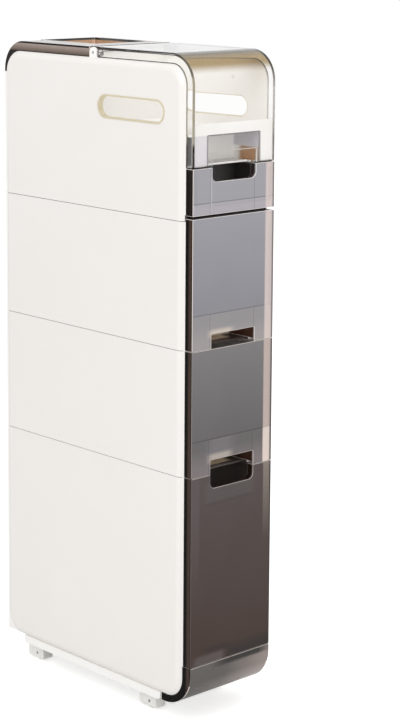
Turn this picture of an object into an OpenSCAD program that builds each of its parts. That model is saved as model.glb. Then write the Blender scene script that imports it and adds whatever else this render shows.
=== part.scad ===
// Slim rolling bathroom tower: white moulded frames stacked on a base with casters,
// snap-on white side panels, smoke drawer fronts, a clear flip-up lid over a tissue
// bay with a dispensing slot in each side, and an open tray behind the lid.
// The front faces -Y, Z is up, and the origin is on the floor under the middle.

/* [Body] */
// Width across the smoke and clear shell
body_w = 150; // [130:5:220]
// Depth from the front face to the rear face
body_d = 400; // [360:10:480]
// Radius of the shell's top front and top rear corners
crown_r = 42; // [34:1:50]
// Radius of the shell's bottom front corner
toe_r = 50; // [40:1:52]

/* [Tier heights] */
// Floor to the underside of the base skirt
floor_gap = 27; // [27:1:34]
// Base, from the underside of its skirt to the lowest drawer front
base_h = 59; // [56:1:80]
// Lowest drawer tier
lower_h = 264; // [200:4:320]
// Second drawer tier
middle_h = 172.5; // [140:2.5:220]
// Third drawer tier
upper_h = 173.5; // [140:2.5:220]
// Top tier, from its floor to the crown
top_h = 220; // [200:5:260]
// Shallow drawer bay inside the top tier
shallow_h = 70; // [64:1:90]

/* [Walls and gaps] */
// Smoke and clear shell wall
shell_t = 2.5; // [2:0.1:3.5]
// White frame wall
frame_t = 2.5; // [2:0.1:3.5]
// Drawer tub wall
tub_t = 2; // [1.6:0.1:3]
// Depth of the shell's returns round the side panels
return_d = 14.5; // [8:0.5:16]
// Air gap between pieces that move past each other
slip = 0.3; // [0.2:0.05:0.5]
// Sliding clearance round a drawer tub
run_clear = 0.5; // [0.3:0.1:1]
// Dark reveal between the shallow drawer front and the one below it
reveal_h = 4; // [2:0.5:6]

/* [Side panels] */
// How far a panel stands out from the shell
panel_proud = 5; // [3.5:0.5:8]
// Width of a panel's rounded edge
edge_w = 10; // [8:0.5:14]
// Corner radius of a panel
panel_r = 30; // [20:1:34]
// Skin of a panel between its inner ribs
panel_skin = 2.2; // [1.8:0.1:3]
// Panel's lower edge above the skirt's underside
panel_lift = 11; // [8:1:14]
// Panel's rear edge inset from the rear face
panel_rear = 5; // [3:1:10]
// Radius of the pegs that clip a panel to its frame
peg_r = 3; // [2:0.25:4]
// Spacing of the ribs behind a panel's skin, up the panel
rib_pitch = 90; // [60:5:120]

/* [Tissue bay] */
// Length of the tissue slot
slot_len = 134; // [100:2:150]
// Height of the tissue slot
slot_h = 30; // [20:1:40]
// Front face to the front end of the slot
slot_setback = 52; // [46:1:64]
// Tissue floor to the middle of the slot
slot_rise = 27; // [22:1:40]
// Width of the slot's trim ring
trim_w = 1.5; // [1:0.25:3]
// How far the trim ring stands out of the panel
trim_proud = 0.5; // [0.3:0.1:1]
// Shallow bay's ceiling to the top of the tissue floor
tissue_rise = 44; // [38:1:56]
// Height of the tissue floor's front lip
lip_h = 14; // [8:1:20]
// Recess under the tissue floor, beyond each side of the finger opening
recess_side = 7; // [4:1:14]

/* [Lid hinge] */
// Front face to the hinge axis
hinge_setback = 203; // [190:1:215]
// Radius of the lid's curled rear edge, which is also the axis depth below the crown
curl_r = 8; // [7:0.5:10]
// Radius of the hinge pins
hinge_pin_r = 2; // [1.5:0.25:2.5]
// Length of the lid's knuckles
knuckle_l = 12; // [8:1:20]
// Running clearance round a pin, on the radius
pin_clear = 0.06; // [0.03:0.01:0.1]

/* [Rear tray] */
// Width of the tray's opening
well_w = 97; // [60:1:110]
// Depth of the tray's opening, front to back
well_l = 118; // [80:2:124]
// Opening's far edge in from the shell's side
well_side = 9; // [6:1:20]
// Opening's rear edge in from the rear face
well_rear = 32; // [28:1:50]
// How deep the tray is
well_h = 90; // [50:5:92]
// Height of the tray's rear skirt
tray_drop = 45; // [44:1:60]
// Corner radius of the tray's opening
well_r = 6; // [3:1:15]

/* [Drawers] */
// How far a drawer pulls out
travel = 280; // [200:10:300]
// Width of the finger openings
pull_w = 80; // [60:2:100]
// Part of a finger opening above a seam
pull_up = 20; // [14:1:26]
// Part of a finger opening below a seam
pull_down = 19; // [12:1:26]
// Corner radius of a finger opening
pull_r = 8; // [4:1:10]
// Height of the finger pocket over a seam
pocket_h = 45; // [36:1:56]
// Depth of the finger pocket
pocket_d = 50; // [36:1:60]
// Front edge of a tier floor in the pocket, back from the front face
finger_gap = 22; // [16:1:30]
// Rim of a tub below the tier above
rim_drop = 12; // [10:1:20]
// How far a tub's rim and a frame's rail overlap
rail_w = 3; // [2:0.25:5]
// Space behind a shut tub
tub_back = 13; // [8:1:30]
// Depth of the lip behind a notched front
notch_d = 8; // [5:1:14]
// Shallow tub's floor above the bay's floor
shallow_floor = 18; // [8:1:24]

/* [Casters] */
// Radius of a caster wheel
wheel_r = 11; // [9:0.5:11.5]
// Width of a caster wheel
wheel_w = 12; // [8:1:14]
// Wheel axle ahead of the swivel axis
trail = 6; // [4:1:8]
// Lower edge of a caster's hood above the floor
hood_gap = 4; // [2:0.5:6]
// Rear end of a caster's hood behind the swivel axis
hood_tail = 14; // [12:1:18]
// Swivel axis in from the shell's side
caster_in = 19; // [18:1:30]
// Front face to the front swivel axis
caster_front = 100; // [84:2:120]
// Front face to the rear swivel axis
caster_rear = 350; // [300:2:360]
// Radius of a caster's swivel stem
stem_r = 4; // [3:0.25:5]
// Length of a caster's swivel stem
stem_l = 26; // [18:1:28]
// Radius of a wheel axle
axle_r = 2; // [1.5:0.25:2.5]
// Front face to the skirt's front end
skirt_front = 57; // [52:1:70]
// Front face to the skirt's rear end
skirt_rear = 358; // [330:2:370]

/* [Hidden] */
$fn = 96;
EPS = 0.01;

half_w = body_w / 2;
front_y = -body_d / 2;
rear_y = body_d / 2;
base_z = floor_gap;
lower_z = base_z + base_h;
middle_z = lower_z + lower_h;
upper_z = middle_z + middle_h;
top_z = upper_z + upper_h;
crown_z = top_z + top_h;
shelf_z = top_z + shallow_h;
reveal_z = top_z + frame_t + 1;
frame_front_y = front_y + return_d;
inner_w = half_w - frame_t;

panel_y0 = front_y + return_d + 1;
panel_y1 = rear_y - panel_rear;
panel_z0 = base_z + panel_lift;
panel_z1 = crown_z - return_d;
edge_r = (edge_w * edge_w + panel_proud * panel_proud) / (2 * panel_proud);
rib_t = 2;
peg_inset = 26;
peg_setback = 66;

tissue_z = shelf_z + tissue_rise;
slot_y = front_y + slot_setback + slot_len / 2;
slot_z = tissue_z + slot_rise;

hinge_y = front_y + hinge_setback;
hinge_z = crown_z - curl_r;
ear_r = curl_r - 0.5;
ear_reach = curl_r + 1;
tray_y0 = hinge_y + curl_r + 2 * slip;

tub_half = inner_w - rail_w - run_clear;
tub_y0 = front_y + shell_t;
tub_y1 = rear_y - frame_t - tub_back;
tub_r = 8;
rim_t = 2;
rim_half = inner_w - run_clear;
rail_h = 6;
rail_y0 = frame_front_y + 6;
lug_w = 6;
lug_l = 5;
lug_clear = 1.5;
lug_x1 = tub_half - 4;
lug_x0 = lug_x1 - lug_w;
shallow_rim_drop = 7;
pocket_half = pull_w / 2 + 2;
pocket_y1 = front_y + pocket_d;

caster_x = half_w - caster_in;
caster_front_y = front_y + caster_front;
caster_rear_y = front_y + caster_rear;
skirt_y0 = front_y + skirt_front;
skirt_y1 = front_y + skirt_rear;
skirt_half = half_w + panel_proud - 2;
wheel_side = 0.5;
wheel_over = 1.2;
cheek_t = 2.4;
hood_t = 2;
hood_top = 2 * wheel_r + wheel_over + hood_t;
boss_r = 2.2 * stem_r;
boss_z = hood_top + 0.6;
stem_room = 2;

// Extrudes a drawing in the Y-Z plane along X
module along_x(x0, x1) {
    translate([x0, 0, 0]) rotate([90, 0, 90]) linear_extrude(x1 - x0) children();
}

// Repeats its children on the left and the right
module both_sides() {
    for (side = [0, 1]) mirror([side, 0, 0]) children();
}

// What a rounded corner takes from a square one, with the corner at the origin
module corner_waste(r) {
    difference() {
        translate([-1, -1]) square(r + 1);
        translate([r, r]) circle(r);
    }
}

// A side outline with its own radius at each corner: front or rear, top or bottom
module outline(y0, y1, z0, z1, ft = 0, rt = 0, fb = 0, rb = 0) {
    difference() {
        translate([y0, z0]) square([y1 - y0, z1 - z0]);
        if (ft > 0) translate([y0, z1]) mirror([0, 1]) corner_waste(ft);
        if (rt > 0) translate([y1, z1]) mirror([1, 0]) mirror([0, 1]) corner_waste(rt);
        if (fb > 0) translate([y0, z0]) corner_waste(fb);
        if (rb > 0) translate([y1, z0]) mirror([1, 0]) corner_waste(rb);
    }
}

// A box from its lowest corner to its highest
module block(a, b) {
    translate(a) cube([b[0] - a[0], b[1] - a[1], b[2] - a[2]]);
}

// ---- side panels ----

// Section of a panel's rounded edge: X stands out of the shell, Y runs inwards
module edge_section() {
    intersection() {
        translate([panel_proud - edge_r, edge_w]) circle(edge_r);
        square([panel_proud, edge_w]);
    }
}

// One rounded corner of a panel, turned about X into its quarter
module edge_corner(y, z, turn) {
    translate([0, y, z]) rotate([turn, 0, 0]) rotate([0, 90, 0]) rotate_extrude(angle = 90)
        intersection() {
            translate([panel_r - edge_w, panel_proud - edge_r]) circle(edge_r);
            translate([panel_r - edge_w, 0]) square([edge_w, panel_proud]);
        }
}

// The right-hand panel between two heights, before its ribs are cut
module panel_form(z0, z1, crowned, footed) {
    za = footed ? z0 + panel_r : z0;
    zb = crowned ? z1 - panel_r : z1;
    core_r = panel_r - edge_w;
    along_x(0, panel_proud)
        outline(panel_y0 + edge_w, panel_y1 - edge_w,
            footed ? z0 + edge_w : z0, crowned ? z1 - edge_w : z1,
            crowned ? core_r : 0, crowned ? core_r : 0, footed ? core_r : 0, footed ? core_r : 0);
    translate([0, panel_y0, za]) linear_extrude(zb - za) edge_section();
    translate([0, panel_y1, za]) linear_extrude(zb - za) mirror([0, 1]) edge_section();
    if (crowned) {
        translate([0, panel_y1 - panel_r, z1]) mirror([0, 0, 1]) rotate([90, 0, 0])
            linear_extrude(panel_y1 - panel_y0 - 2 * panel_r) edge_section();
        edge_corner(panel_y0 + panel_r, z1 - panel_r, 180);
        edge_corner(panel_y1 - panel_r, z1 - panel_r, 90);
    }
    if (footed) {
        translate([0, panel_y1 - panel_r, z0]) rotate([90, 0, 0])
            linear_extrude(panel_y1 - panel_y0 - 2 * panel_r) edge_section();
        edge_corner(panel_y0 + panel_r, z0 + panel_r, -90);
        edge_corner(panel_y1 - panel_r, z0 + panel_r, 0);
    }
}

// Places of a tier's panel pegs, as [y, z]
function peg_places(z0, z1) = [
    for (y = [panel_y0 + peg_setback, panel_y1 - peg_setback],
         z = [z0 + peg_inset, z1 - peg_inset]) [y, z]
];

// A tier's panel pegs, or with an overrun the holes that take them
module pegs(z0, z1, overrun = 0) {
    for (place = peg_places(z0, z1))
        translate([-frame_t - overrun, place[0], place[1]]) rotate([0, 90, 0])
            cylinder(h = frame_t + overrun + EPS, r = peg_r);
}

// Shallow pockets behind a panel's skin, which leave ribs and bosses standing
module rib_pockets(z0, z1) {
    depth = panel_proud - panel_skin;
    inset = edge_w + 2 * rib_t;
    y0 = panel_y0 + inset;
    y1 = panel_y1 - inset;
    columns = 4;
    rows = max(2, round((z1 - z0) / rib_pitch));
    step_y = (y1 - y0 + rib_t) / columns;
    step_z = (z1 - z0 - 2 * inset + rib_t) / rows;
    difference() {
        for (i = [0 : columns - 1], j = [0 : rows - 1])
            translate([-EPS, y0 + i * step_y, z0 + inset + j * step_z])
                cube([depth + EPS, step_y - rib_t, step_z - rib_t]);
        for (place = peg_places(z0, z1))
            translate([-1, place[0], place[1]]) rotate([0, 90, 0])
                cylinder(h = panel_proud + 2, r = 2 * peg_r);
    }
}

module slot_outline(grow) {
    r = slot_h / 2 + grow;
    half = slot_len / 2 - slot_h / 2;
    translate([slot_y, slot_z]) {
        square([2 * half, 2 * r], center = true);
        for (end = [-half, half]) translate([end, 0]) circle(r);
    }
}

// A panel in place on the right; the caller mirrors it for the left
module side_panel(z0, z1, crowned = false, footed = false, slotted = false) {
    groove = 0.4;
    low = footed ? z0 : z0 + groove;
    high = crowned ? z1 : z1 - groove;
    color([0.95, 0.94, 0.93]) translate([half_w, 0, 0]) {
        difference() {
            panel_form(low, high, crowned, footed);
            difference() {
                rib_pockets(low, high);
                if (slotted) along_x(-1, panel_proud) slot_outline(trim_w + 3);
            }
            if (slotted) {
                along_x(-1, panel_proud + 1) slot_outline(0);
                along_x(panel_proud - 0.8, panel_proud + 1) slot_outline(trim_w);
            }
        }
        pegs(z0, z1);
    }
}

module on_left() {
    mirror([1, 0, 0]) children();
}

module panel_lower() { side_panel(panel_z0, middle_z, footed = true); }
module panel_middle() { side_panel(middle_z, upper_z); }
module panel_upper() { side_panel(upper_z, top_z); }
module panel_top() { side_panel(top_z, panel_z1, crowned = true, slotted = true); }

// Ring that lines the tissue slot, with a flange let into the panel
module slot_trim() {
    color([0.85, 0.76, 0.55]) translate([half_w, 0, 0]) difference() {
        union() {
            along_x(-frame_t, panel_proud - 0.8 + EPS) slot_outline(0);
            along_x(panel_proud - 0.8, panel_proud + trim_proud) slot_outline(trim_w);
        }
        along_x(-frame_t - 1, panel_proud + trim_proud + 1) slot_outline(-1);
    }
}

// ---- white frames ----

// Rail that carries a tub's rim
module rail(top) {
    block([inner_w - rail_w, rail_y0, top - rail_h], [inner_w, rear_y - frame_t, top]);
}

// Lug under a floor that stops the drawer below it, whose rim lies a drop lower
module header_lug(under, drop) {
    y1 = tub_y1 - lug_l - travel - slip;
    block([lug_x0, y1 - lug_l, under - drop + lug_clear], [lug_x1, y1, under + EPS]);
}

// Tongue that locates a frame in the one below it
module tongue(under) {
    clear = 0.2;
    thick = 1.5;
    reach = 4;
    block([inner_w - clear - thick, front_y + pocket_d, under - reach],
        [inner_w - clear, rear_y - pocket_d, under + EPS]);
}

// Floor of a tier, with or without the finger gap at its front
module tier_floor(z, gap_front, y1 = rear_y) {
    difference() {
        block([-inner_w, frame_front_y, z], [inner_w, y1, z + frame_t]);
        if (gap_front)
            block([-pocket_half, frame_front_y - 1, z - 1],
                [pocket_half, front_y + finger_gap, z + frame_t + 1]);
    }
}

// One stacking frame: two side walls, a rear wall, a floor, rails and locating tongues
module frame_tier(z0, z1, gap_front, stacked) {
    difference() {
        both_sides() block([inner_w, frame_front_y, z0], [half_w, rear_y, z1]);
        both_sides() translate([half_w, 0, 0]) pegs(z0 == lower_z ? panel_z0 : z0, z1, EPS);
    }
    block([-inner_w, rear_y - frame_t, z0], [inner_w, rear_y, z1]);
    tier_floor(z0, gap_front);
    both_sides() rail(z1 - rim_drop - rim_t - slip);
    if (stacked) both_sides() {
        tongue(z0);
        header_lug(z0, rim_drop);
    }
}

module frame_lower() {
    color([0.93, 0.92, 0.9]) frame_tier(lower_z, middle_z, false, false);
}

module frame_middle() {
    color([0.93, 0.92, 0.9]) frame_tier(middle_z, upper_z, true, true);
}

module frame_upper() {
    color([0.93, 0.92, 0.9]) frame_tier(upper_z, top_z, true, true);
}

// Top frame: its side walls follow the crown and rise into the lid's hinge ears
module frame_top() {
    wall_top = crown_z - return_d;
    inner_r = crown_r - return_d;
    rear_step = crown_z - tray_drop;
    ledge_h = 5;
    ledge_w = 2;
    color([0.93, 0.92, 0.9]) {
        difference() {
            both_sides() along_x(inner_w, half_w) {
                outline(frame_front_y, rear_y - return_d, top_z, wall_top,
                    ft = inner_r, rt = inner_r);
                outline(frame_front_y, rear_y, top_z, rear_step);
                translate([hinge_y, hinge_z]) circle(ear_r);
                outline(hinge_y - ear_r, hinge_y + ear_r, rear_step, hinge_z);
            }
            both_sides() along_x(inner_w - 1, half_w + 1) slot_outline(0);
            both_sides() translate([half_w, 0, 0]) pegs(top_z, panel_z1, EPS);
            translate([-half_w - 1, hinge_y, hinge_z]) rotate([0, 90, 0])
                cylinder(h = body_w + 2, r = hinge_pin_r);
        }
        block([-inner_w, rear_y - frame_t, top_z], [inner_w, rear_y, rear_step]);
        tier_floor(top_z, false);
        both_sides() {
            rail(shelf_z - shallow_rim_drop - rim_t - slip);
            block([inner_w - ledge_w, rail_y0, shelf_z - ledge_h],
                [inner_w, rear_y - frame_t, shelf_z]);
            tongue(top_z);
            header_lug(top_z, rim_drop);
        }
    }
}

// ---- base and casters ----

// Base chassis: top plate, walls, skirt, ribs and four swivel sockets
module base_chassis() {
    rib_h = 12;
    end_r = 6;
    plate_z = lower_z - frame_t;
    middle_y = (caster_front_y + caster_rear_y) / 2;
    color([0.95, 0.94, 0.93]) difference() {
        union() {
            difference() {
                union() {
                    block([-half_w, skirt_y0, panel_z0], [half_w, rear_y, lower_z]);
                    along_x(-half_w, half_w)
                        outline(skirt_y0, skirt_y1, base_z, lower_z - EPS, fb = end_r, rb = end_r);
                    along_x(-skirt_half, skirt_half)
                        outline(skirt_y0, skirt_y1, base_z, panel_z0, fb = end_r, rb = end_r);
                }
                block([-inner_w, skirt_y0 + frame_t, base_z - 1],
                    [inner_w, rear_y - frame_t, plate_z]);
            }
            for (x = [-caster_x, 0, caster_x])
                block([x - rib_t / 2, skirt_y0 + EPS, plate_z - rib_h],
                    [x + rib_t / 2, rear_y - EPS, plate_z + EPS]);
            for (y = [caster_front_y, middle_y, caster_rear_y])
                block([-inner_w - EPS, y - rib_t / 2, plate_z - rib_h],
                    [inner_w + EPS, y + rib_t / 2, plate_z + EPS]);
            for (x = [-caster_x, caster_x], y = [caster_front_y, caster_rear_y])
                translate([x, y, boss_z]) cylinder(h = plate_z - boss_z + EPS, r = boss_r);
        }
        for (x = [-caster_x, caster_x], y = [caster_front_y, caster_rear_y])
            translate([x, y, boss_z - 1]) cylinder(h = stem_l, r = stem_r + pin_clear);
        both_sides() translate([half_w, 0, 0]) pegs(panel_z0, middle_z, EPS);
    }
}

// Smoke toe piece under the lowest drawer front, curved into the floor side
module toe_cap() {
    color([0.3, 0.28, 0.27, 0.8]) difference() {
        along_x(-half_w, half_w)
            outline(front_y, skirt_y0, base_z, lower_z - slip, fb = toe_r);
        along_x(-half_w + shell_t, half_w - shell_t)
            outline(front_y + shell_t, skirt_y0 + 1, base_z + shell_t, lower_z + 1,
                fb = toe_r - shell_t);
    }
}

module at_caster(x, y) {
    translate([x, y, 0]) children();
}

// Boxy hood over a caster wheel: a top plate, end walls and two cheeks that hold the axle
module fork() {
    inner = wheel_w / 2 + wheel_side;
    outer = inner + cheek_t;
    y0 = -trail - wheel_r - wheel_over;
    y1 = hood_tail - hood_t;
    bend = 4;
    color([0.95, 0.95, 0.94]) difference() {
        along_x(-outer, outer)
            outline(y0 - hood_t, y1 + hood_t, hood_gap, hood_top, ft = bend, rt = bend);
        along_x(-inner, inner)
            outline(y0, y1, hood_gap - 1, hood_top - hood_t, ft = bend - hood_t, rt = bend - hood_t);
        translate([-outer - 1, -trail, wheel_r]) rotate([0, 90, 0])
            cylinder(h = 2 * outer + 2, r = axle_r);
    }
}

// Steel swivel stem that stands on the hood and turns in the base
module stem() {
    color([0.7, 0.7, 0.72]) translate([0, 0, hood_top])
        cylinder(h = stem_l - stem_room, r = stem_r);
}

module axle() {
    outer = wheel_w / 2 + wheel_side + cheek_t;
    color([0.7, 0.7, 0.72]) translate([-outer, -trail, wheel_r]) rotate([0, 90, 0])
        cylinder(h = 2 * outer, r = axle_r);
}

// Caster wheel with a crowned tread and dished sides
module wheel() {
    bore_r = axle_r + pin_clear;
    hub_r = axle_r + 3;
    dish = 2.5;
    rim = 3;
    chamfer = 2;
    half = wheel_w / 2;
    color([0.9, 0.9, 0.9]) translate([0, -trail, wheel_r]) rotate([0, 90, 0]) rotate_extrude()
        difference() {
            translate([bore_r, -half]) square([wheel_r - bore_r, wheel_w]);
            for (side = [-half, half])
                translate([wheel_r, side]) rotate(45) square(chamfer, center = true);
            translate([hub_r, half - dish]) square([wheel_r - rim - hub_r, dish + 1]);
            translate([hub_r, -half - 1]) square([wheel_r - rim - hub_r, dish + 1]);
        }
}

// ---- drawers ----

// Open-topped tub without a front wall; the smoke front closes it
module tub_form(z0, rim_z) {
    difference() {
        translate([0, 0, z0]) linear_extrude(rim_z - z0) tub_plan(tub_half, tub_y1, tub_r);
        translate([0, -EPS, z0 + tub_t]) linear_extrude(rim_z - z0)
            tub_plan(tub_half - tub_t, tub_y1 - tub_t, tub_r - tub_t);
    }
    difference() {
        translate([0, 0, rim_z - rim_t]) linear_extrude(rim_t)
            tub_plan(rim_half, tub_y1 + 3, tub_r + 3);
        translate([0, -EPS, rim_z - rim_t - 1]) linear_extrude(rim_t + 2)
            tub_plan(tub_half - tub_t, tub_y1 - tub_t, tub_r - tub_t);
    }
}

// Plan of a tub: square at the front, rounded at the rear
module tub_plan(half, y1, r) {
    difference() {
        translate([-half, tub_y0]) square([2 * half, y1 - tub_y0]);
        translate([-half, y1]) mirror([0, 1]) corner_waste(r);
        translate([half, y1]) mirror([1, 0]) mirror([0, 1]) corner_waste(r);
    }
}

// Lugs on the rear of a tub's rim that meet the header lugs when it is pulled out
module tub_lugs(rim_z, drop) {
    both_sides()
        block([lug_x0, tub_y1 - lug_l, rim_z - rim_t], [lug_x1, tub_y1, rim_z + drop - lug_clear]);
}

// A tub whose floor steps up at the front over the finger pocket
module pocket_tub(z0, z1) {
    low = z0 + frame_t + run_clear;
    rim_z = z1 - rim_drop;
    ledge = z0 + pocket_h;
    color([0.85, 0.85, 0.84]) {
        difference() {
            tub_form(low, rim_z);
            block([-half_w, tub_y0 - 1, low - 1], [half_w, pocket_y1, ledge]);
        }
        block([-tub_half, pocket_y1, low], [tub_half, pocket_y1 + tub_t, ledge + tub_t]);
        block([-tub_half, tub_y0, ledge], [tub_half, pocket_y1 + tub_t, ledge + tub_t]);
        tub_lugs(rim_z, rim_drop);
    }
}

module drawer_lower_tub() {
    color([0.85, 0.85, 0.84]) {
        tub_form(lower_z + frame_t + run_clear, middle_z - rim_drop);
        tub_lugs(middle_z - rim_drop, rim_drop);
    }
}

module drawer_middle_tub() { pocket_tub(middle_z, upper_z); }
module drawer_upper_tub() { pocket_tub(upper_z, top_z); }

module drawer_shallow_tub() {
    color([0.85, 0.85, 0.84]) {
        tub_form(top_z + shallow_floor, shelf_z - shallow_rim_drop);
        tub_lugs(shelf_z - shallow_rim_drop, shallow_rim_drop);
    }
}

// Front plate with its side returns, between two heights
module front_form(z0, z1) {
    block([-half_w, front_y, z0], [half_w, front_y + shell_t, z1]);
    both_sides() block([half_w - shell_t, front_y, z0], [half_w, frame_front_y - slip, z1]);
}

// Opening for the fingers, drawn in X-Z with its round corners at one end
module pull_cut(z0, z1, r_low, r_high) {
    translate([0, front_y + shell_t + 1, 0]) rotate([90, 0, 0]) linear_extrude(shell_t + 2)
        outline(-pull_w / 2, pull_w / 2, z0, z1, ft = r_high, rt = r_high, fb = r_low, rb = r_low);
}

// U-shaped lip behind a notch in a front's upper edge
module notch_lip(z_top) {
    lip_t = 2;
    translate([0, front_y + shell_t + notch_d, 0]) rotate([90, 0, 0]) linear_extrude(notch_d + EPS)
        difference() {
            outline(-pull_w / 2 - lip_t, pull_w / 2 + lip_t, z_top - pull_down - lip_t, z_top,
                fb = pull_r + lip_t, rb = pull_r + lip_t);
            outline(-pull_w / 2, pull_w / 2, z_top - pull_down, z_top + 1,
                fb = pull_r, rb = pull_r);
        }
}

// Pocket cheeks moulded behind a front, beside the finger opening, clear of the tier's floor
module pocket_cheeks(z) {
    cheek = 1.6;
    both_sides() block([pocket_half, front_y + shell_t - EPS, z + frame_t + run_clear],
        [pocket_half + cheek, pocket_y1 - slip, z + pocket_h - slip]);
}

module notched_front(z0, z1) {
    difference() {
        front_form(z0, z1);
        pull_cut(z1 - pull_down, z1 + 1, pull_r, 0);
    }
    notch_lip(z1);
}

module drawer_lower_front() {
    color([0.22, 0.19, 0.18, 0.85]) notched_front(lower_z + slip, middle_z - slip);
}

module drawer_middle_front() {
    color([0.36, 0.35, 0.36, 0.8]) {
        difference() {
            front_form(middle_z + slip, upper_z - slip);
            pull_cut(middle_z - 1, middle_z + pull_up, 0, 2);
        }
        pocket_cheeks(middle_z);
    }
}

module drawer_upper_front() {
    color([0.5, 0.5, 0.52, 0.75]) {
        difference() {
            front_form(upper_z + slip, reveal_z);
            pull_cut(upper_z - 1, upper_z + pull_up, 0, 2);
        }
        pocket_cheeks(upper_z);
    }
}

module drawer_shallow_front() {
    color([0.55, 0.55, 0.58, 0.75])
        notched_front(reveal_z + reveal_h, shelf_z - slip);
}

// ---- tissue bay, lid and tray ----

// Floor of the tissue bay with its lip, apron, finger pocket and the wall behind the bay
module tissue_floor() {
    under = tissue_z - frame_t;
    foot = shelf_z + frame_t;
    y0 = front_y + shell_t + slip;
    wing_half = half_w - shell_t - slip;
    recess_half = pull_w / 2 + recess_side;
    wall = 2;
    leg_y1 = tray_y0 - 2 * wall;
    color([0.96, 0.95, 0.93]) {
        block([-inner_w, frame_front_y, under], [inner_w, tray_y0, tissue_z]);
        block([-wing_half, y0, under], [wing_half, frame_front_y + EPS, tissue_z]);
        block([-wing_half, y0, under], [wing_half, y0 + wall, tissue_z + lip_h]);
        both_sides() {
            block([recess_half, y0, foot], [wing_half, y0 + wall, under + EPS]);
            block([recess_half, y0, foot], [recess_half + wall, pocket_y1 + wall, under + EPS]);
        }
        block([-recess_half, pocket_y1, foot], [recess_half, pocket_y1 + wall, under + EPS]);
        block([-inner_w, leg_y1 - wall, foot], [inner_w, leg_y1, under + EPS]);
        block([-inner_w, tray_y0 - EPS, under], [inner_w, tray_y0 + wall, crown_z - shell_t]);
    }
}

// Shelf between the shallow drawer and the tissue bay
module bay_shelf() {
    color([0.93, 0.92, 0.9]) {
        tier_floor(shelf_z, true, rear_y - frame_t);
        both_sides() header_lug(shelf_z, shallow_rim_drop);
    }
}

// Rear tray: crowned smoke deck with returns and a well let into it
module rear_tray() {
    low = crown_z - tray_drop;
    x1 = half_w - well_side;
    x0 = x1 - well_w;
    y1 = rear_y - well_rear;
    y0 = y1 - well_l;
    wall = 2;
    floor_z = crown_z - well_h;
    color([0.5, 0.42, 0.35, 0.8]) {
        difference() {
            union() {
                along_x(-half_w, half_w) difference() {
                    outline(tray_y0, rear_y, low, crown_z, rt = crown_r);
                    outline(tray_y0 - 1, rear_y - shell_t, low - 1, crown_z - shell_t,
                        rt = crown_r - shell_t);
                }
                both_sides() along_x(half_w - shell_t, half_w) difference() {
                    outline(tray_y0, rear_y, low, crown_z, rt = crown_r);
                    outline(tray_y0 - 1, rear_y - return_d, low - 1, crown_z - return_d,
                        rt = crown_r - return_d);
                }
                block([x0 - wall, y0 - wall, floor_z - wall],
                    [x1 + wall, y1 + wall, crown_z - EPS]);
            }
            translate([0, 0, floor_z]) linear_extrude(well_h + 1) difference() {
                translate([x0, y0]) square([well_w, well_l]);
                translate([x0, y0]) corner_waste(well_r);
                translate([x1, y0]) mirror([1, 0]) corner_waste(well_r);
                translate([x0, y1]) mirror([0, 1]) corner_waste(well_r);
                translate([x1, y1]) mirror([1, 0]) mirror([0, 1]) corner_waste(well_r);
            }
        }
    }
}

// Clear lid: top, crown curve and front band in one, with returns and hinge knuckles
module lid() {
    z0 = shelf_z + slip;
    depth = return_d - slip;
    hinge_half = inner_w - slip;
    color([0.85, 0.85, 0.82, 0.4]) difference() {
        union() {
            difference() {
                along_x(-half_w, half_w) difference() {
                    outline(front_y, hinge_y, z0, crown_z, ft = crown_r);
                    outline(front_y + shell_t, hinge_y + 1, z0 - 1, crown_z - shell_t,
                        ft = crown_r - shell_t);
                }
                both_sides() block([hinge_half, hinge_y - ear_reach, z0],
                    [half_w + 1, hinge_y + 1, crown_z + 1]);
            }
            both_sides() along_x(half_w - shell_t, half_w) difference() {
                outline(front_y, hinge_y - ear_reach, z0, crown_z, ft = crown_r);
                outline(front_y + depth, hinge_y, z0 - 1, crown_z - depth,
                    ft = crown_r - depth);
            }
            along_x(-hinge_half, hinge_half) intersection() {
                translate([hinge_y, hinge_z]) difference() {
                    circle(curl_r);
                    circle(curl_r - shell_t);
                }
                translate([hinge_y, hinge_z]) square(curl_r + 1);
            }
            both_sides() along_x(hinge_half - knuckle_l, hinge_half) {
                translate([hinge_y, hinge_z]) circle(curl_r);
                translate([hinge_y - curl_r, hinge_z]) square([curl_r, curl_r]);
            }
        }
        translate([-half_w, hinge_y, hinge_z]) rotate([0, 90, 0])
            cylinder(h = body_w, r = hinge_pin_r + pin_clear);
        pull_cut(z0 - 1, shelf_z + pull_up, 0, 2);
    }
}

// Two steel pins, fixed in the frame's ears, that the lid turns on
module hinge_pins() {
    color([0.75, 0.75, 0.77]) both_sides()
        translate([inner_w - knuckle_l, hinge_y, hinge_z]) rotate([0, 90, 0])
            cylinder(h = knuckle_l + frame_t, r = hinge_pin_r);
}

base_chassis();
toe_cap();
frame_lower();
frame_middle();
frame_upper();
frame_top();
on_left() panel_lower();  // panel_lower_left
panel_lower();  // panel_lower_right
on_left() panel_middle();  // panel_middle_left
panel_middle();  // panel_middle_right
on_left() panel_upper();  // panel_upper_left
panel_upper();  // panel_upper_right
on_left() panel_top();  // panel_top_left
panel_top();  // panel_top_right
on_left() slot_trim();  // slot_trim_left
slot_trim();  // slot_trim_right
tissue_floor();
bay_shelf();
rear_tray();
lid();
hinge_pins();
drawer_lower_tub();
drawer_lower_front();
drawer_middle_tub();
drawer_middle_front();
drawer_upper_tub();
drawer_upper_front();
drawer_shallow_tub();
drawer_shallow_front();
at_caster(-caster_x, caster_front_y) fork();  // fork_front_left
at_caster(caster_x, caster_front_y) fork();  // fork_front_right
at_caster(-caster_x, caster_rear_y) fork();  // fork_rear_left
at_caster(caster_x, caster_rear_y) fork();  // fork_rear_right
at_caster(-caster_x, caster_front_y) stem();  // stem_front_left
at_caster(caster_x, caster_front_y) stem();  // stem_front_right
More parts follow.
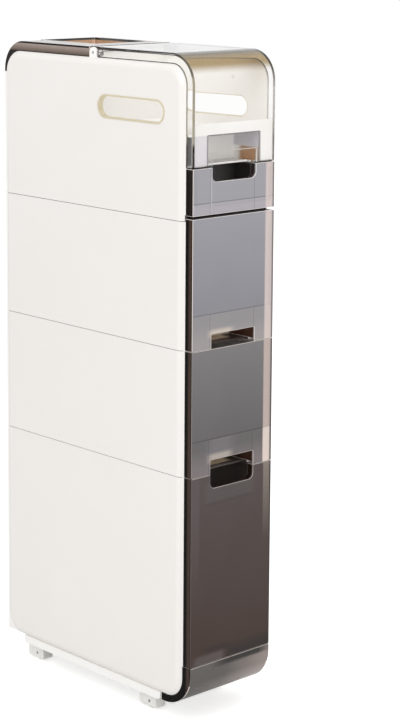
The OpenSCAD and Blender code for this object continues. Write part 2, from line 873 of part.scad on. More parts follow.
at_caster(-caster_x, caster_rear_y) stem();  // stem_rear_left
at_caster(caster_x, caster_rear_y) stem();  // stem_rear_right
at_caster(-caster_x, caster_front_y) axle();  // axle_front_left
at_caster(caster_x, caster_front_y) axle();  // axle_front_right
at_caster(-caster_x, caster_rear_y) axle();  // axle_rear_left
at_caster(caster_x, caster_rear_y) axle();  // axle_rear_right
at_caster(-caster_x, caster_front_y) wheel();  // wheel_front_left
at_caster(caster_x, caster_front_y) wheel();  // wheel_front_right
at_caster(-caster_x, caster_rear_y) wheel();  // wheel_rear_left
at_caster(caster_x, caster_rear_y) wheel();  // wheel_rear_right
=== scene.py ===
import math

import bmesh
import bpy
import numpy as np
from mathutils import Matrix, Vector


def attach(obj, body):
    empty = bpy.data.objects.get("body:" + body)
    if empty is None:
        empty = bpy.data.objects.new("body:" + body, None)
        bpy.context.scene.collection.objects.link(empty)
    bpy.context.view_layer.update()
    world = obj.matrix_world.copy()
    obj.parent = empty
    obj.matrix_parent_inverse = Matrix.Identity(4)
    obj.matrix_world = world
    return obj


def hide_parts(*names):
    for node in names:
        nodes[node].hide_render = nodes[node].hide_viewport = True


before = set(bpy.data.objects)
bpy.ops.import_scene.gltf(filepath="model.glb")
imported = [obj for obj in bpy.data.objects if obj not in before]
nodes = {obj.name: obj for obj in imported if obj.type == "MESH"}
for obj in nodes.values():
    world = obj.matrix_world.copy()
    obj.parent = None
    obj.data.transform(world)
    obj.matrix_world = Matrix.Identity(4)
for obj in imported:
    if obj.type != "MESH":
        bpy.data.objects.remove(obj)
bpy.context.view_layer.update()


# ---- snap-on side panels ----
# Four white panels a side, injection moulded in ABS and polished in the tool, clip on to the
# frames with pegs. Each is crowned along its outer edge, and a fine groove parts it from the
# next. Faint flow clouds and a very slight orange peel are all that breaks the gloss.


def linear(code):
    """An sRGB hex code as linear RGBA: each channel c is c / 12.92 up to 0.04045, and
    ((c + 0.055) / 1.055) ^ 2.4 above it."""
    c = np.array([int(code[i : i + 2], 16) for i in (1, 3, 5)]) / 255
    c = np.where(c <= 0.04045, c / 12.92, ((c + 0.055) / 1.055) ** 2.4)
    return (*c.tolist(), 1.0)


def add(finish, kind, sockets, **settings):
    """Adds one node to a finish: its settings, then each socket's value or its link."""
    node = finish.node_tree.nodes.new(kind)
    for name, value in settings.items():
        setattr(node, name, value)
    for key, value in sockets.items():
        if isinstance(value, bpy.types.NodeSocket):
            finish.node_tree.links.new(value, node.inputs[key])
        else:
            node.inputs[key].default_value = value
    return node


def new_finish(name):
    """An empty finish, and the place on the object that its patterns read, in metres."""
    finish = bpy.data.materials.new(name)
    finish.use_nodes = True
    finish.node_tree.nodes.clear()
    place = add(finish, "ShaderNodeTexCoord", {}).outputs["Object"]
    return finish, place


def drifting(finish, place, per_metre, detail, first, second):
    """A soft noise with per_metre clouds on a metre, and a tone that drifts with it from the
    first colour to the second."""
    noise = {"Vector": place, "Scale": per_metre, "Detail": detail}
    cloud = add(finish, "ShaderNodeTexNoise", noise).outputs["Fac"]
    pair = {"Factor": cloud, "A": linear(first), "B": linear(second)}
    return cloud, add(finish, "ShaderNodeMix", pair, data_type="RGBA").outputs["Result"]


def dress(finish, *names):
    """Gives each named CAD node a finish."""
    for name in names:
        mesh = nodes[name].data
        mesh.materials.clear()
        mesh.materials.append(finish)


# polished injection-moulded ABS, warm white: orange peel 2 mm across under a wet-looking skin,
# and flow clouds 110 mm across that hardly change its tone and gloss
white_abs, place = new_finish("polished_moulded_abs")
peel = add(white_abs, "ShaderNodeTexNoise", {"Vector": place, "Scale": 500.0, "Detail": 1.0})
flow, tone = drifting(white_abs, place, 9.0, 3.0, "#F1EEEB", "#EEEAE6")
wipe = add(white_abs, "ShaderNodeMapRange", {"Value": flow, "To Min": 0.24, "To Max": 0.28})
skin = add(white_abs, "ShaderNodeBump", {
    "Height": peel.outputs["Fac"], "Strength": 0.06, "Distance": 0.0002,
})
shader = add(white_abs, "ShaderNodeBsdfPrincipled", {
    "Base Color": tone, "Roughness": wipe.outputs["Result"], "Normal": skin.outputs["Normal"],
    "IOR": 1.53,
})
add(white_abs, "ShaderNodeOutputMaterial", {"Surface": shader.outputs[0]})
dress(white_abs, *[n for n in nodes if n.startswith("panel_")])


# ---- slot trims ----
# A thin ring lines each tissue slot and covers the panel's cut edge. It is moulded in a
# champagne-tinted ABS with metal flake, and snaps in from outside.

# flakes 0.7 mm across, far coarser than the real ones, so that they show
trim_gold, place = new_finish("champagne_flake_abs")
flake = add(trim_gold, "ShaderNodeTexVoronoi", {"Vector": place, "Scale": 1400.0})
tone = add(trim_gold, "ShaderNodeMix", {
    "Factor": flake.outputs["Distance"], "A": linear("#D2C7A8"), "B": linear("#E6DDC3"),
}, data_type="RGBA")
shader = add(trim_gold, "ShaderNodeBsdfPrincipled", {
    "Base Color": tone.outputs["Result"], "Metallic": 0.6, "Roughness": 0.35,
})
add(trim_gold, "ShaderNodeOutputMaterial", {"Surface": shader.outputs[0]})
dress(trim_gold, "slot_trim_left", "slot_trim_right")


# ---- stacking frames, base and shelf ----
# The inner frames are plain white polypropylene mouldings with walls of 2.5 mm, left as they
# come from a fine-sparked tool. They stack on tongues and carry the drawers on rails.


def marked(finish, spot, tone, marks):
    """A tone with marks laid over it in turn. Each mark is a box, a colour and how far it covers.
    The box names some axes, and on each a low end, a high end and the width over which the mark
    fades there, all in metres."""
    for box, code, cover in marks:
        share = cover
        for axis, (low, high, fade) in box.items():
            rise = add(finish, "ShaderNodeMapRange", {
                "Value": spot.outputs[axis], "From Min": low - fade / 2, "From Max": low + fade / 2,
            })
            fall = add(finish, "ShaderNodeMapRange", {
                "Value": spot.outputs[axis], "From Min": high - fade / 2,
                "From Max": high + fade / 2, "To Min": 1.0, "To Max": 0.0,
            })
            span = add(finish, "ShaderNodeMath", {
                0: rise.outputs["Result"], 1: fall.outputs["Result"],
            }, operation="MULTIPLY")
            share = add(finish, "ShaderNodeMath", {
                0: share, 1: span.outputs[0],
            }, operation="MULTIPLY").outputs[0]
        tone = add(finish, "ShaderNodeMix", {
            "Factor": share, "A": tone, "B": linear(code),
        }, data_type="RGBA").outputs["Result"]
    return tone


# the fades of a mark at a cut line and at a moulded edge, and a limit past every face
line, edge, past = 0.0004, 0.001, 1.0

# the tissue bay's apron is painted greyer at the left of its finger pocket, as shade, with a
# painted shade line over the pocket and down each side of it
apron_up = (0.766, 0.8085)
frame_marks = [
    ({"X": (-past, -0.047, edge), "Y": (-0.199, -0.194, line), "Z": (*apron_up, edge)},
     "#DCD8DE", 0.85),
    ({"X": (-0.0475, 0.0475, edge), "Y": (-0.199, -0.150, line), "Z": (0.8073, 0.8092, line)},
     "#565054", 0.9),
]
for left in (-0.0493, 0.0468):
    side_line = {"X": (left, left + 0.0025, line), "Y": (-0.199, -0.1955, line)}
    frame_marks.append(({**side_line, "Z": (*apron_up, line)}, "#6E686E", 0.8))

# the pocket's right cheek is painted amber low down, behind the smoke sheet, as warm light that the
# sheet carries onto it, and painted grey shade above
cheek = (0.0440, 0.0475, 0.0002)
frame_marks += [
    ({"X": cheek, "Y": (-0.1955, -0.160, 0.008), "Z": (0.764, 0.7865, edge)}, "#B9844C", 0.9),
    ({"X": cheek, "Y": (-0.1955, -0.149, edge), "Z": (0.7865, 0.8060, edge)}, "#D9D3DC", 0.9),
]

# a reveal of painted shade lies over the upper drawer, and the floors of the upper and the middle
# pocket take painted shade in front and painted light behind, from lit_y on
frame_marks.append(({"Y": (-0.191, -0.150, 0.002), "Z": (0.6955, 0.7045, line)}, "#1A1512", 0.95))
for floor_z, lit_y, dark, lit in (
    (0.5210, -0.166, "#2E1408", "#F3DFC4"),
    (0.3485, -0.170, "#2C1A12", "#EBD9C0"),
):
    floor_up = (floor_z, floor_z + 0.0046, line)
    frame_marks += [
        ({"X": (-0.0425, 0.0425, edge), "Y": (-0.192, -0.146, edge), "Z": floor_up}, dark, 0.95),
        ({"X": (-0.0425, 0.026, 0.008), "Y": (lit_y, -0.146, 0.004), "Z": floor_up}, lit, 0.9),
    ]

# polypropylene, white, from a spark-eroded tool: satin, with a fine grain 0.6 mm across and
# clouds of tone 70 mm across
white_pp, place = new_finish("sparked_polypropylene")
spot = add(white_pp, "ShaderNodeSeparateXYZ", {"Vector": place})
spark = add(white_pp, "ShaderNodeTexNoise", {"Vector": place, "Scale": 1800.0, "Detail": 2.0})
cloud, tone = drifting(white_pp, place, 14.0, 2.0, "#FDFCFA", "#F9F7F3")
# the frame marks lay painted shade and painted light over the tone
tone = marked(white_pp, spot, tone, frame_marks)
skin = add(white_pp, "ShaderNodeBump", {
    "Height": spark.outputs["Fac"], "Strength": 0.15, "Distance": 0.0001,
})
shader = add(white_pp, "ShaderNodeBsdfPrincipled", {
    "Base Color": tone, "Roughness": 0.45, "Normal": skin.outputs["Normal"], "IOR": 1.49,
})
add(white_pp, "ShaderNodeOutputMaterial", {"Surface": shader.outputs[0]})
dress(white_pp, "base_chassis", "tissue_floor", "bay_shelf")
dress(white_pp, *[n for n in nodes if n.startswith("frame_")])


# ---- drawer tubs ----
# Each drawer is a tub of natural polypropylene, a milky grey that lets a little light through,
# with a lug at each rear corner that stops it at the end of its travel. Where the front ends show
# in the finger pockets and the reveal, their tones are painted shade and painted light.

# a reveal of painted shade over the shallow tub's floor, and painted shade on the front ends of the
# lower and shallow tubs
tub_marks = [
    ({"Y": (-past, -0.140, 0.002), "Z": (0.6995, 0.7042, line)}, "#171311", 1.0),
    ({"Y": (-past, -0.080, 0.120), "Z": (0.0870, 0.3480, 0.004)}, "#4A3A30", 0.75),
    ({"Y": (-past, -0.112, 0.040), "Z": (0.7045, 0.7640, 0.004)}, "#2A2018", 0.9),
]
# the middle and upper tubs wrap the finger pockets: a rear wall in painted light and a right cheek
# in painted brown shade
for low, high, wall, side in (
    (0.352, 0.3975, "#F6E6CE", "#5B2C1A"),
    (0.524, 0.5700, "#F8E8D0", "#8A5330"),
):
    pocket = {"Y": (-0.1965, -0.144, edge), "Z": (low, high, line)}
    tub_marks += [
        ({"X": (-0.0455, 0.0455, 0.0006), **pocket}, wall, 0.9),
        ({"X": (0.0405, 0.0455, 0.0006), **pocket}, side, 0.95),
    ]

# natural polypropylene, satin and milky, with clouds of tone 50 mm across from the flow
natural_pp, place = new_finish("natural_polypropylene")
spot = add(natural_pp, "ShaderNodeSeparateXYZ", {"Vector": place})
cloud, tone = drifting(natural_pp, place, 20.0, 3.0, "#E4E2DF", "#DAD7D3")
# the tub marks lay painted shade and painted light over the tone
tone = marked(natural_pp, spot, tone, tub_marks)
shader = add(natural_pp, "ShaderNodeBsdfPrincipled", {
    "Base Color": tone, "Roughness": 0.38, "IOR": 1.49, "Transmission Weight": 0.25,
})
add(natural_pp, "ShaderNodeOutputMaterial", {"Surface": shader.outputs[0]})
dress(natural_pp, *[n for n in nodes if n.endswith("_tub")])


# ---- drawer fronts and toe cap ----
# The drawer fronts are plates of smoke-tinted styrene with short returns along the sides, glued
# to their tubs. The toe cap is the same sheet, bent under. Painted shade makes each plate darker
# towards the floor and the lower plates darker than the upper ones, and every cut edge is polished
# and carries a painted highlight.


def eased(name, width, face, side, rim, kept_in=False):
    """A copy of a CAD node for looks. Its loose triangles are joined, the triangles of each flat
    face become one face, and every edge that turns more than 35 degrees is rounded over width
    metres. The outer faces along the shell's two sides take the side finish, the rounding takes
    the rim finish, and all other faces take the face finish. Kept_in narrows the rounding to what
    the shortest edge has room for."""
    weld, flat, sharp = 2e-6, math.radians(0.3), math.radians(35)
    # an outer face looks straight out to a side and lies more than outer_x from the middle
    square_on, outer_x = 0.99, 0.0746
    finishes = (face, side, rim)
    work = bmesh.new()
    work.from_mesh(nodes[name].data)
    bmesh.ops.remove_doubles(work, verts=work.verts, dist=weld)
    bmesh.ops.dissolve_limit(work, angle_limit=flat, verts=work.verts, edges=work.edges)
    mesh = bpy.data.meshes.new(name + "_eased")
    work.to_mesh(mesh)
    work.free()
    mesh.shade_smooth()
    mesh.set_sharp_from_angle(angle=sharp)
    for finish in finishes:
        mesh.materials.append(finish)
    normal = np.empty(3 * len(mesh.polygons), dtype=np.float32)
    centre = np.empty_like(normal)
    mesh.polygons.foreach_get("normal", normal)
    mesh.polygons.foreach_get("center", centre)
    outward = (np.abs(normal[0::3]) > square_on) & (np.abs(centre[0::3]) > outer_x)
    mesh.polygons.foreach_set("material_index", outward.astype(np.int32))
    piece = bpy.data.objects.new(name + "_eased", mesh)
    bpy.context.scene.collection.objects.link(piece)
    rounding = piece.modifiers.new("rounding", "BEVEL")
    rounding.width = width
    rounding.segments = 2
    rounding.limit_method = "ANGLE"
    rounding.angle_limit = sharp
    rounding.use_clamp_overlap = kept_in
    rounding.loop_slide = False
    rounding.harden_normals = True
    rounding.material = len(finishes) - 1
    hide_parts(name)
    return piece


def mounted(piece, body):
    """Lets a piece move with a body."""
    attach(piece, body)


def let_light_through(finish, sheet, tint):
    """Finishes a see-through sheet. The camera, gloss and glass see its shader as it is. Lamps
    and scattered light pass through unbent, and each of its two faces tints them by the square
    root of the tint."""
    once = add(finish, "ShaderNodeGamma", {"Color": tint, "Gamma": 0.5})
    unbent = add(finish, "ShaderNodeBsdfTransparent", {"Color": once.outputs["Color"]})
    ray = add(finish, "ShaderNodeLightPath", {})
    lamp = add(finish, "ShaderNodeMath", {
        0: ray.outputs["Is Shadow Ray"], 1: ray.outputs["Is Diffuse Ray"],
    }, operation="MAXIMUM")
    shader = add(finish, "ShaderNodeMixShader", {
        0: lamp.outputs[0], 1: sheet.outputs[0], 2: unbent.outputs[0],
    })
    add(finish, "ShaderNodeOutputMaterial", {"Surface": shader.outputs[0]})


# the inner face of the side returns, out from the middle, and the back of the plates
return_x, plate_back = 0.0722, -0.1972


def smoke(name, foot, head, low, high, clear, gloss, marks):
    """A see-through tinted styrene whose tone runs from foot at height low to head at height high,
    in metres, as painted shade. Clear is how much of what is behind it shows, and gloss how
    strongly it reflects. Flow in the tool leaves clouds of tone 60 mm across, and the polish leaves
    wipe marks
    3 mm apart. The marks are where the pocket, the tub or the returns stand behind the sheet, and
    among them are painted shade and painted light. Inner faces of the returns are painted pale, as
    light that the sheet carries."""
    clouding = 0.24
    finish, place = new_finish(name)
    spot = add(finish, "ShaderNodeSeparateXYZ", {"Vector": place})
    cloud = add(finish, "ShaderNodeTexNoise", {"Vector": place, "Scale": 16.0, "Detail": 2.0})
    rise = add(finish, "ShaderNodeMapRange", {
        "Value": spot.outputs["Z"], "From Min": low, "From Max": high,
        "To Min": -clouding / 2, "To Max": 1 - clouding / 2,
    })
    drift = add(finish, "ShaderNodeMath", {
        0: cloud.outputs["Fac"], 1: clouding, 2: rise.outputs["Result"],
    }, operation="MULTIPLY_ADD")
    tone = add(finish, "ShaderNodeMix", {
        "Factor": drift.outputs[0], "A": linear(foot), "B": linear(head),
    }, data_type="RGBA")
    tone = marked(finish, spot, tone.outputs["Result"], marks)
    # the inner faces of the returns are painted pale, as light that the sheet carries
    off = add(finish, "ShaderNodeMath", {0: spot.outputs["X"]}, operation="ABSOLUTE")
    inner = add(finish, "ShaderNodeMath", {
        0: off.outputs[0], 1: return_x,
    }, operation="GREATER_THAN")
    behind = add(finish, "ShaderNodeMath", {
        0: spot.outputs["Y"], 1: plate_back,
    }, operation="GREATER_THAN")
    piped = add(finish, "ShaderNodeMath", {
        0: inner.outputs[0], 1: behind.outputs[0],
    }, operation="MULTIPLY")
    tint = add(finish, "ShaderNodeMix", {
        "Factor": piped.outputs[0], "A": tone, "B": linear("#F2E4DC"),
    }, data_type="RGBA").outputs["Result"]
    wipe = add(finish, "ShaderNodeTexNoise", {"Vector": place, "Scale": 300.0, "Detail": 2.0})
    sheen = add(finish, "ShaderNodeMapRange", {
        "Value": wipe.outputs["Fac"], "To Min": 0.05, "To Max": 0.14,
    })
    sheet = add(finish, "ShaderNodeBsdfPrincipled", {
        "Base Color": tint, "Roughness": sheen.outputs["Result"], "IOR": 1.57,
        "Specular IOR Level": gloss, "Transmission Weight": clear,
    })
    let_light_through(finish, sheet, tint)
    return finish


def sawn(name, even, shade, gloss, marks):
    """Styrene seen edge-on, where its tint closes up: a plain tone with streaks of a second tone
    30 mm long, marks, and a set level of gloss. Its tones also serve for painted highlights and
    painted shade along edges."""
    finish, place = new_finish(name)
    spot = add(finish, "ShaderNodeSeparateXYZ", {"Vector": place})
    streak, tone = drifting(finish, place, 33.0, 2.0, even, shade)
    tone = marked(finish, spot, tone, marks)
    shader = add(finish, "ShaderNodeBsdfPrincipled", {
        "Base Color": tone, "Roughness": 0.2, "IOR": 1.57, "Specular IOR Level": gloss,
    })
    add(finish, "ShaderNodeOutputMaterial", {"Surface": shader.outputs[0]})
    return finish


def painted_highlight_edge(name, bright, left, right, gloss=0.5):
    """Flame-polished edge of smoke styrene, painted as a bright highlight line with a faint warm
    tone, which takes its own tone of painted light and shade along the shell's left and right
    sides."""
    rim_x, fade = 0.0738, 0.0002
    return sawn(name, bright, bright, gloss, [
        ({"X": (-past, -rim_x, fade)}, left, 1.0), ({"X": (rim_x, past, fade)}, right, 1.0),
    ])


def pairs(lefts, width, fade, others, code, cover):
    """Like marks of one width, each from its own left end, such as a pocket's two walls. Others
    holds the box's other axes."""
    return [({"X": (x, x + width, fade), **others}, code, cover) for x in lefts]


# the returns from outside: brown by the front face, and black as painted shade where they go in
# behind the panels and beside the shallow drawer
shut_side = sawn("smoke_styrene_return", "#4A3B34", "#3A2D27", gloss=0.06, marks=[
    ({"Y": (-0.1925, past, 0.004)}, "#040303", 1.0),
    ({"Y": (-past, -0.1982, edge)}, "#120E0C", 0.9),
    ({"Z": (0.7015, past, edge)}, "#15100D", 0.85),
])

# the heights where the toe cap and each plate end and the next begins
toe_foot, toe_top, lower_top, middle_top, upper_top, shallow_top = (
    0.027, 0.086, 0.350, 0.522, 0.700, 0.766,
)
# the fade at a moulded step or wall seen through a plate, and the cut edge of a finger notch
step_fade, wall_fade = 0.0006, 0.0005
notch_edge = {"X": (-0.050, 0.050, line), "Y": (plate_back, -0.180, line)}

# lower plate: a paler lip under the notch and its painted shadow, painted light along the left
# edge, a strip of painted light and the return at the right, a painted arch of light at the foot,
# painted shade beside it, and the notch's cut edge
lower_marks = [
    ({"X": (-0.048, 0.042, 0.010), "Z": (0.3115, 0.34, 0.004)}, "#6C6B6D", 0.25),
    ({"X": (-0.045, 0.034, 0.014), "Z": (0.3085, 0.3108, 0.0018)}, "#41383A", 0.5),
    ({"X": (-past, -0.0595, 0.004), "Z": (0.24, past, 0.14)}, "#6A6162", 0.5),
    ({"X": (0.0600, 0.0718, 0.0012), "Z": (0.30, past, 0.12)}, "#A3978C", 0.85),
    ({"X": (0.0725, 0.0765, 0.0010)}, "#38302D", 0.8),
    ({"X": (-0.047, -0.004, 0.012), "Z": (0.1010, 0.1085, 0.004)}, "#1E0F0A", 0.6),
    ({"X": (-0.068, -0.012, 0.012), "Z": (0.080, 0.0990, 0.006)}, "#6F6767", 0.6),
    ({"X": (-0.006, past, 0.020), "Z": (0.080, 0.1020, 0.016)}, "#150B07", 0.75),
    (notch_edge, "#2A1A12", 0.95),
]
lower_smoke = smoke(
    "smoke_styrene_lower", foot="#402314", head="#5A4E4C", low=toe_top, high=lower_top,
    clear=0.35, gloss=0.3, marks=lower_marks,
)

# middle plate: the tub's step round the pocket, with painted light at its foot and left, the step's
# painted shadow, the pocket's walls, a strip of painted light and the return at the right, a
# painted highlight over the opening, its cheeks
step = (0.34, 0.3985, step_fade)
middle_marks = [
    ({"Z": step}, "#726E6F", 0.9),
    ({"Z": (0.34, 0.3740, 0.026)}, "#93888A", 0.7),
    ({"X": (-0.0435, 0.0000, 0.020), "Z": step}, "#8A868B", 0.6),
    ({"Z": (0.3985, 0.4002, step_fade)}, "#524E53", 0.7),
    *pairs((-0.0442, 0.0376), 0.0012, wall_fade, {"Z": step}, "#625E64", 0.7),
    ({"X": (0.0585, 0.0712, 0.0015)}, "#DAC8C1", 0.85),
    ({"X": (0.0585, 0.0712, 0.0015), "Z": step}, "#F6E8E0", 0.8),
    ({"X": (return_x, 0.0765, 0.0008)}, "#6A5B57", 0.8),
    ({"X": (-0.0430, -0.002, 0.012), "Z": (0.366, 0.3780, 0.005)}, "#D6CAC0", 0.65),
    *pairs((0.0410, -0.0450), 0.0040, line, {"Y": (plate_back, -0.140, line)}, "#4A2A1C", 0.95),
]
middle_smoke = smoke(
    "smoke_styrene_middle", foot="#625D5F", head="#8B888A", low=lower_top, high=middle_top,
    clear=0.35, gloss=0.4, marks=middle_marks,
)

# upper plate: the same things as on the middle one, in its paler tones
step = (0.51, 0.5695, step_fade)
upper_marks = [
    ({"Z": step}, "#A6A3A5", 0.9),
    ({"Z": (0.51, 0.5440, 0.020)}, "#B9B1B0", 0.6),
    ({"Z": (0.5695, 0.5710, step_fade)}, "#77747B", 0.65),
    *pairs((-0.0437, 0.0376), 0.0012, wall_fade, {"Z": step}, "#86838B", 0.65),
    ({"X": (0.0590, 0.0715, 0.0025)}, "#F2E2DD", 0.75),
    ({"X": (return_x, 0.0765, 0.0008)}, "#8A7A77", 0.8),
    ({"X": (-0.0430, -0.002, 0.012), "Z": (0.538, 0.5480, 0.005)}, "#EFE0D0", 0.65),
    *pairs((0.0410, -0.0450), 0.0040, line, {"Y": (plate_back, -0.140, line)}, "#5E3826", 0.95),
]
upper_smoke = smoke(
    "smoke_styrene_upper", foot="#95949B", head="#AFAEB5", low=middle_top, high=upper_top,
    clear=0.35, gloss=0.5, marks=upper_marks,
)

# shallow plate: the tub's floor and its painted shadow, two walls with a painted highlight line
# inside the left one, a strip of painted light and the return at the right, and the notch's cut
# edge
shallow_marks = [
    ({"Z": (0.70, 0.7185, step_fade)}, "#C8C3CA", 0.7),
    ({"Z": (0.7185, 0.7202, step_fade)}, "#8A8790", 0.65),
    ({"X": (-0.0445, -0.0433, wall_fade)}, "#8C8992", 0.6),
    ({"X": (-0.0433, -0.0405, wall_fade)}, "#D2CFD6", 0.6),
    ({"X": (0.0366, 0.0378, wall_fade)}, "#8C8992", 0.6),
    ({"X": (0.0590, 0.0715, 0.0025)}, "#F2E2DD", 0.75),
    ({"X": (return_x, 0.0765, 0.0008)}, "#8E7F7C", 0.8),
    (notch_edge, "#2A1A12", 0.95),
]
shallow_smoke = smoke(
    "smoke_styrene_shallow", foot="#B2B1B7", head="#B5B4BA", low=0.703, high=shallow_top,
    clear=0.35, gloss=0.5, marks=shallow_marks,
)

# toe cap: painted light to the right and low down, and a wedge of painted shade under the lower
# drawer
toe_marks = [
    ({"X": (0.038, past, 0.090)}, "#B4A49E", 0.85),
    ({"X": (-0.030, past, 0.080), "Z": (-past, 0.0500, 0.024)}, "#C2B6B1", 0.6),
    ({"X": (-0.022, 0.0690, 0.030), "Z": (0.0775, 0.1, 0.004)}, "#1A110B", 1.0),
]
toe_smoke = smoke(
    "smoke_styrene_toe", foot="#5E5955", head="#66615D", low=toe_foot, high=toe_top,
    clear=0.3, gloss=0.5, marks=toe_marks,
)

lower_edge = painted_highlight_edge("polished_edge_lower", "#BDB6B0", "#554B47", "#3A312E")
middle_edge = painted_highlight_edge("polished_edge_middle", "#DAD2CC", "#8B8480", "#5F5450")
upper_edge = painted_highlight_edge("polished_edge_upper", "#F4EFEA", "#F0E5E0", "#8F7F7B")
toe_edge = painted_highlight_edge("polished_edge_toe", "#C4BBB5", "#2A2522", "#B9AAA3", gloss=0.06)

cut_round = 0.0005
for name, sheet, rim, body, slot in (
    ("drawer_lower_front", lower_smoke, lower_edge, "drawer_lower", "smoke_dark"),
    ("drawer_middle_front", middle_smoke, middle_edge, "drawer_middle", "smoke_grey"),
    ("drawer_upper_front", upper_smoke, upper_edge, "drawer_upper", "smoke_grey"),
    ("drawer_shallow_front", shallow_smoke, upper_edge, "drawer_shallow", "smoke_grey"),
    ("toe_cap", toe_smoke, toe_edge, "cabinet", "smoke_dark"),
):
    mounted(eased(name, cut_round, sheet, shut_side, rim), body)


# ---- rear tray ----
# The tray, its deck and its returns are one moulding in an amber-brown smoke styrene with a
# glossy hard coat. The well's walls are painted tan, as light from above falling on them.

# dark lines round the well's mouth and the deck, where the sheet's edges close up, and the well's
# walls painted tan as light from above
deck_up = (0.9130, past, step_fade)
tray_marks = [
    ({"X": (-0.0370, 0.0720, edge), "Y": (0.0430, 0.1740, edge), "Z": (0.9135, past, step_fade)},
     "#120C09", 1.0),
    ({"X": (-0.0330, 0.0680, edge), "Y": (0.0465, 0.1715, edge), "Z": (-past, 0.9125, step_fade)},
     "#EFC39B", 0.9),
    ({"X": (-past, -0.0670, 0.0030), "Z": deck_up}, "#1C1410", 0.9),
    ({"X": (0.0737, past, 0.0003), "Z": deck_up}, "#0E0A08", 1.0),
    ({"Y": (-past, 0.0128, 0.0003)}, "#0E0A08", 1.0),
]
amber_smoke = smoke(
    "amber_smoke_styrene", foot="#B98E69", head="#85725F", low=0.880, high=0.914,
    clear=0.3, gloss=0.5, marks=tray_marks,
)
# the returns from outside: pale brown, deeper towards the panel, with a black line above and below
amber_side = sawn("amber_smoke_return", "#A89A92", "#9A8B82", gloss=0.15, marks=[
    ({"Z": (-past, 0.9075, 0.011)}, "#43301F", 0.9),
    ({"Z": (0.9133, past, 0.0005)}, "#080504", 1.0),
    ({"Z": (-past, 0.9028, 0.0008)}, "#0E0906", 0.95),
])
tray = eased("rear_tray", cut_round, amber_smoke, amber_side, amber_side, kept_in=True)
mounted(tray, "cabinet")


# ---- lid ----
# The lid is one sheet of clear styrene, bent hot over the front corner, with short returns. It
# turns on two pins. A straw tone in the bend is a painted reflection, and a dark line painted
# round the edges stands for the light that they trap.

# clear styrene, glossy and all but colourless, with clouds of tone 70 mm across. The straw tone,
# a painted reflection, lies between the returns, in front of bend_y, and comes in over the heights
# of reflection_rise.
bend_y = -0.1565
clear_sheet, place = new_finish("clear_styrene")
spot = add(clear_sheet, "ShaderNodeSeparateXYZ", {"Vector": place})
bent = add(clear_sheet, "ShaderNodeMath", {
    0: spot.outputs["Y"], 1: bend_y,
}, operation="LESS_THAN")
reflection_rise = add(clear_sheet, "ShaderNodeMapRange", {
    "Value": spot.outputs["Z"], "From Min": 0.888, "From Max": 0.902,
}, interpolation_type="SMOOTHSTEP")
depth = add(clear_sheet, "ShaderNodeMapRange", {
    "Value": spot.outputs["Z"], "From Min": 0.906, "From Max": 0.9155,
}, interpolation_type="SMOOTHSTEP")
straw = add(clear_sheet, "ShaderNodeMix", {
    "Factor": depth.outputs["Result"], "A": linear("#AE976C"), "B": linear("#7B7466"),
}, data_type="RGBA")
off = add(clear_sheet, "ShaderNodeMath", {0: spot.outputs["X"]}, operation="ABSOLUTE")
between = add(clear_sheet, "ShaderNodeMath", {
    0: off.outputs[0], 1: return_x,
}, operation="LESS_THAN")
curve = add(clear_sheet, "ShaderNodeMath", {
    0: bent.outputs[0], 1: between.outputs[0],
}, operation="MULTIPLY")
share = add(clear_sheet, "ShaderNodeMath", {
    0: reflection_rise.outputs["Result"], 1: curve.outputs[0],
}, operation="MULTIPLY")
cloud, water = drifting(clear_sheet, place, 14.0, 2.0, "#FFFFFF", "#FCFBFA")
tint = add(clear_sheet, "ShaderNodeMix", {
    "Factor": share.outputs[0], "A": water, "B": straw.outputs["Result"],
}, data_type="RGBA").outputs["Result"]
sheet = add(clear_sheet, "ShaderNodeBsdfPrincipled", {
    "Base Color": tint, "Roughness": 0.03, "IOR": 1.5, "Transmission Weight": 1.0,
})
let_light_through(clear_sheet, sheet, tint)

# the edges are painted near black for the light that they trap, with painted light low down at the
# right, painted straw-coloured light at the left of the front band and its bend, and a painted
# highlight round the finger notch
dark_edge = sawn("light_trapping_edge", "#080605", "#33281F", gloss=0.06, marks=[
    ({"X": (0.0700, past, 0.002), "Z": (-past, 0.880, 0.030)}, "#D5D2CE", 0.9),
    ({"X": (-past, -0.0700, 0.002), "Y": (-past, -0.150, 0.010), "Z": (0.798, 0.888, 0.006)},
     "#A89F8C", 0.85),
    ({"X": (-past, -0.0700, 0.002), "Y": (-past, -0.168, 0.010), "Z": (0.888, 0.914, 0.006)},
     "#857C6C", 0.6),
    ({"X": (-0.044, 0.044, 0.002), "Y": (-past, -0.190, 0.002), "Z": (0.7675, 0.795, edge)},
     "#E8E4E0", 0.8),
])
trapping_round = 0.0011
mounted(eased("lid", trapping_round, clear_sheet, clear_sheet, dark_edge), "lid")


# ---- hinge pins, stems and axles ----
# The lid's pins, the casters' stems and the wheels' axles are drawn steel rod, cut to length. The
# pins are fixed in the top frame's ears, and the stems turn in sockets in the base.

# drawn steel, grey and semi-bright, with a grain 1.1 mm across
drawn_steel, place = new_finish("drawn_steel_rod")
grain, tone = drifting(drawn_steel, place, 900.0, 3.0, "#B9BABD", "#A2A3A7")
shader = add(drawn_steel, "ShaderNodeBsdfPrincipled", {
    "Base Color": tone, "Metallic": 1.0, "Roughness": 0.3,
})
add(drawn_steel, "ShaderNodeOutputMaterial", {"Surface": shader.outputs[0]})
dress(drawn_steel, "hinge_pins", *[n for n in nodes if n.startswith(("stem_", "axle_"))])


# ---- casters ----
# Each caster is a boxy fork that hides most of its wheel, on a stem in the base. Forks and wheels
# are white nylon, injection moulded and satin from the tool.

